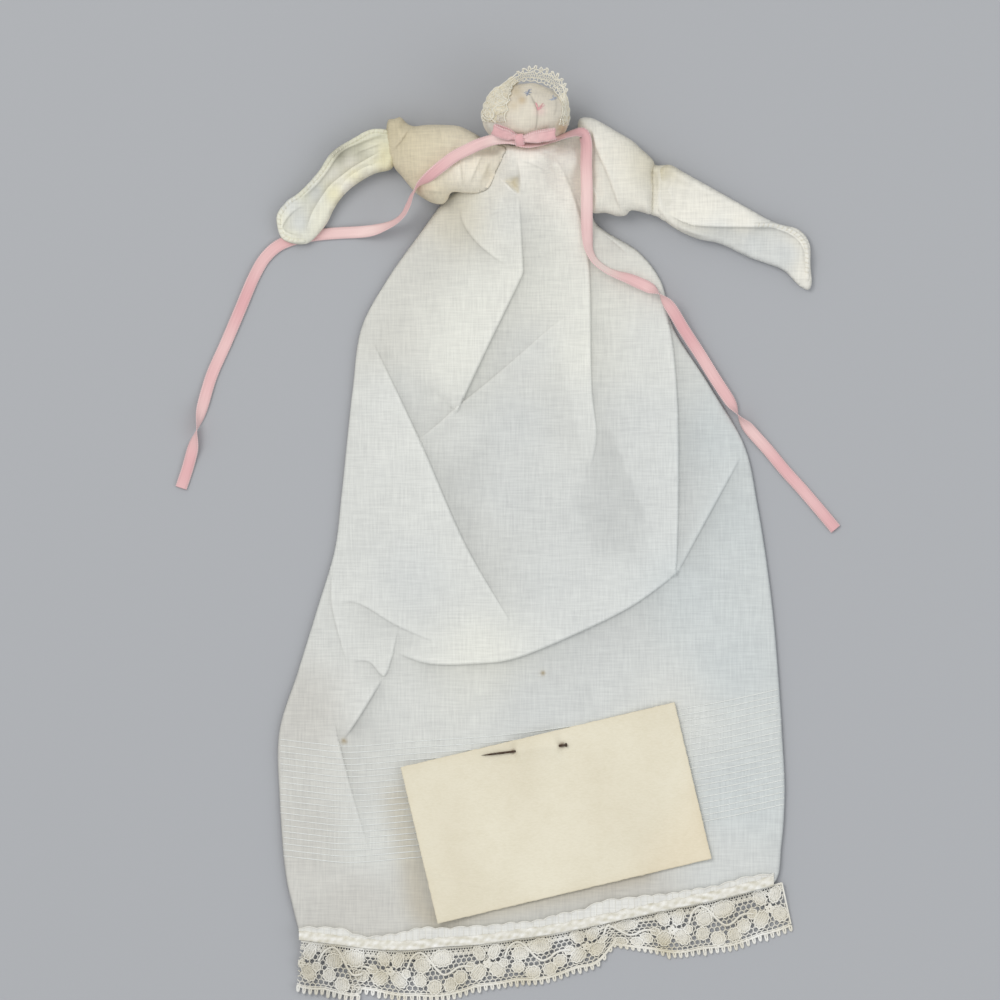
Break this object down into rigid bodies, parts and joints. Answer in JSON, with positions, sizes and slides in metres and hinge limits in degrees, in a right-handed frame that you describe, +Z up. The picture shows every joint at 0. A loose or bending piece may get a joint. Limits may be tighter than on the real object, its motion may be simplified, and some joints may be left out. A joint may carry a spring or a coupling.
{
  "type": "handkerchief doll",
  "caption": "Doll folded and tied from a lace-edged handkerchief, with a stuffed head, lace cap, knotted arms, a ribbon bow at the neck and a bare card pinned to its skirt.",
  "frame": {"origin": "middle of the doll's box on the table it lies on, measured without the ribbon tails", "axes": "+Y from the lace hem to the head, +X towards the doll's left arm, +Z up from the table"},
  "size_m": [0.2101, 0.294, 0.0299],
  "materials": {
    "lawn": "matt woven cotton lawn",
    "lawn_aged": "matt woven cotton lawn, aged",
    "lawn_yellowed": "matt woven cotton lawn, yellowed",
    "face_cloth": "matt woven cotton lawn, stained",
    "cotton_lace": "matt cotton lace",
    "cotton_wool": "loose cotton stuffing",
    "pink_satin": "satin sheen",
    "white_thread": "matt sewing thread",
    "blue_thread": "embroidery thread",
    "pink_thread": "embroidery thread",
    "aged_card": "matt, aged",
    "old_steel": "tarnished"
  },
  "bodies": {
    "skirt": {"skirt_front": "lawn", "skirt_back_right": "lawn", "skirt_back_left": "lawn", "lace_hem": "cotton_lace", "lace_heading": "cotton_lace", "neck_gather": "lawn_aged", "neck_ribbon": "pink_satin", "neck_thread": "white_thread", "bow_knot": "pink_satin", "bow_left_loop": "pink_satin", "bow_right_loop": "pink_satin", "ribbon_right_shoulder": "pink_satin", "ribbon_left_shoulder": "pink_satin", "ribbon_left_tail": "pink_satin"},
    "head": {"head_cover": "face_cloth", "head_stuffing": "cotton_wool", "lace_cap": "cotton_lace", "right_eye": "blue_thread", "left_eye": "blue_thread", "mouth": "pink_thread"},
    "right_arm": {"right_sleeve": "lawn_aged", "right_knot": "lawn_aged", "ribbon_right_tail": "pink_satin"},
    "right_hand": {"right_hand": "lawn_yellowed"},
    "left_arm": {"left_sleeve": "lawn_aged", "left_knot": "lawn_aged"},
    "left_hand": {"left_hand": "lawn_aged"},
    "card": {"card": "aged_card", "straight_pin": "old_steel"}
  },
  "joints": [
    {"name": "head_turn", "type": "hinge", "parent": "skirt", "child": "head", "pos_m": [-0.0056, 0.1315, 0.0141], "axis": [0, 1, 0], "range_deg": [-35, 35]},
    {"name": "right_arm_swing", "type": "hinge", "parent": "skirt", "child": "right_arm", "pos_m": [-0.0056, 0.121, 0], "axis": [0, 0, 1], "range_deg": [-5, 12]},
    {"name": "right_hand_bend", "type": "hinge", "parent": "right_arm", "child": "right_hand", "pos_m": [-0.046, 0.1215, 0], "axis": [0, 0, 1], "range_deg": [-15, 12]},
    {"name": "left_arm_swing", "type": "hinge", "parent": "skirt", "child": "left_arm", "pos_m": [-0.0056, 0.121, 0], "axis": [0, 0, 1], "range_deg": [-6, 15]},
    {"name": "left_hand_bend", "type": "hinge", "parent": "left_arm", "child": "left_hand", "pos_m": [0.036, 0.1087, 0], "axis": [0, 0, 1], "range_deg": [-15, 15]},
    {"name": "card_lift", "type": "hinge", "parent": "skirt", "child": "card", "pos_m": [-0.00186, -0.06349, 0.0024], "axis": [-0.973, -0.2309, 0], "range_deg": [0, 90]}
  ]
}
